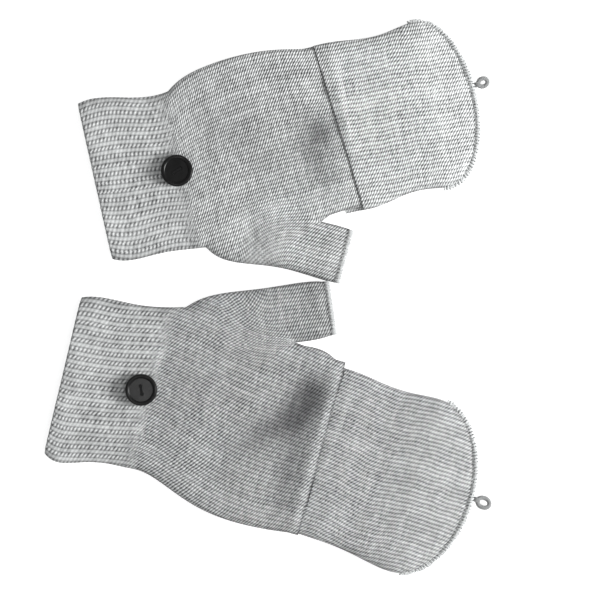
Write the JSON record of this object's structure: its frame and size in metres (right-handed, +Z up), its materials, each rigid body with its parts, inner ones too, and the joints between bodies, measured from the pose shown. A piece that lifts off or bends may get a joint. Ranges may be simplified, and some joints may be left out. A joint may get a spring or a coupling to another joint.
{
  "type": "convertible flip-top mittens",
  "caption": "Pair of knitted fingerless gloves with mitten caps that flip back from the knuckles and hook by a cord loop over a button on the back of the hand.",
  "frame": {"origin": "centre of the pair in plan, on the surface it lies on", "axes": "+Z up out of the backs of the hands; +Y across the pair from the right mitten to the left one; +X roughly towards the fingertips"},
  "size_m": [0.2163, 0.2665, 0.0152],
  "materials": {
    "jersey": "matt knit",
    "rib": "matt rib knit",
    "overlock": "matt thread",
    "cord": "matt cord",
    "elastic": "matt",
    "button": "polished",
    "thread": "matt thread"
  },
  "bodies": {
    "right_mitten": {"right_hand": "jersey", "right_cuff": "rib", "right_cuff_elastic": "elastic", "right_index_sleeve": "jersey", "right_middle_sleeve": "jersey", "right_ring_sleeve": "jersey", "right_little_sleeve": "jersey", "right_index_edge": "overlock", "right_middle_edge": "overlock", "right_ring_edge": "overlock", "right_little_edge": "overlock", "right_knuckle_seam": "overlock"},
    "right_cap": {"right_cap": "jersey", "right_cap_hem": "overlock", "right_cap_tip_seam": "overlock", "right_loop_anchor": "cord"},
    "right_loop": {"right_loop": "cord"},
    "right_button": {"right_button": "button", "right_button_thread": "thread"},
    "right_thumb": {"right_thumb": "jersey", "right_thumb_edge": "overlock"},
    "left_mitten": {"left_hand": "jersey", "left_cuff": "rib", "left_cuff_elastic": "elastic", "left_index_sleeve": "jersey", "left_middle_sleeve": "jersey", "left_ring_sleeve": "jersey", "left_little_sleeve": "jersey", "left_index_edge": "overlock", "left_middle_edge": "overlock", "left_ring_edge": "overlock", "left_little_edge": "overlock", "left_knuckle_seam": "overlock"},
    "left_cap": {"left_cap": "jersey", "left_cap_hem": "overlock", "left_cap_tip_seam": "overlock", "left_loop_anchor": "cord"},
    "left_loop": {"left_loop": "cord"},
    "left_button": {"left_button": "button", "left_button_thread": "thread"},
    "left_thumb": {"left_thumb": "jersey", "left_thumb_edge": "overlock"}
  },
  "joints": [
    {"name": "right_cap_flip", "type": "hinge", "parent": "right_mitten", "child": "right_cap", "pos_m": [0.02648, -0.07363, 0.0093], "axis": [-0.2672, -0.9636, 0], "range_deg": [0, 180], "deforming": ["right_index_sleeve", "right_index_edge", "right_middle_sleeve", "right_middle_edge", "right_ring_sleeve", "right_ring_edge", "right_little_sleeve", "right_little_edge"]},
    {"name": "right_loop_swing", "type": "hinge", "parent": "right_cap", "child": "right_loop", "pos_m": [0.10171, -0.09761, 0.0024], "axis": [-0.2672, -0.9636, 0], "range_deg": [-10, 90]},
    {"name": "right_button_tilt", "type": "hinge", "parent": "right_mitten", "child": "right_button", "pos_m": [-0.05974, -0.04401, 0.00989], "axis": [0.2672, 0.9636, 0], "range_deg": [-12, 4]},
    {"name": "right_thumb_swing", "type": "hinge", "parent": "right_mitten", "child": "right_thumb", "pos_m": [0.01193, -0.00785, 0.004], "axis": [0, 0, -1], "range_deg": [0, 15]},
    {"name": "left_cap_flip", "type": "hinge", "parent": "left_mitten", "child": "left_cap", "pos_m": [0.03508, 0.08175, 0.0093], "axis": [0.294, -0.9558, 0], "range_deg": [0, 180], "deforming": ["left_index_sleeve", "left_index_edge", "left_middle_sleeve", "left_middle_edge", "left_ring_sleeve", "left_ring_edge", "left_little_sleeve", "left_little_edge"]},
    {"name": "left_loop_swing", "type": "hinge", "parent": "left_cap", "child": "left_loop", "pos_m": [0.10208, 0.1025, 0.0024], "axis": [0.2164, -0.9763, 0], "range_deg": [-10, 90]},
    {"name": "left_button_tilt", "type": "hinge", "parent": "left_mitten", "child": "left_button", "pos_m": [-0.04291, 0.06022, 0.0098], "axis": [-0.2164, 0.9763, 0], "range_deg": [-14, 3]},
    {"name": "left_thumb_swing", "type": "hinge", "parent": "left_mitten", "child": "left_thumb", "pos_m": [0.02285, 0.02362, 0.004], "axis": [0, 0, 1], "range_deg": [0, 15]},
    {"name": "left_lift", "type": "slide", "parent": "right_mitten", "child": "left_mitten", "axis": [0, 0, 1], "range_m": [0, 0.1]}
  ]
}
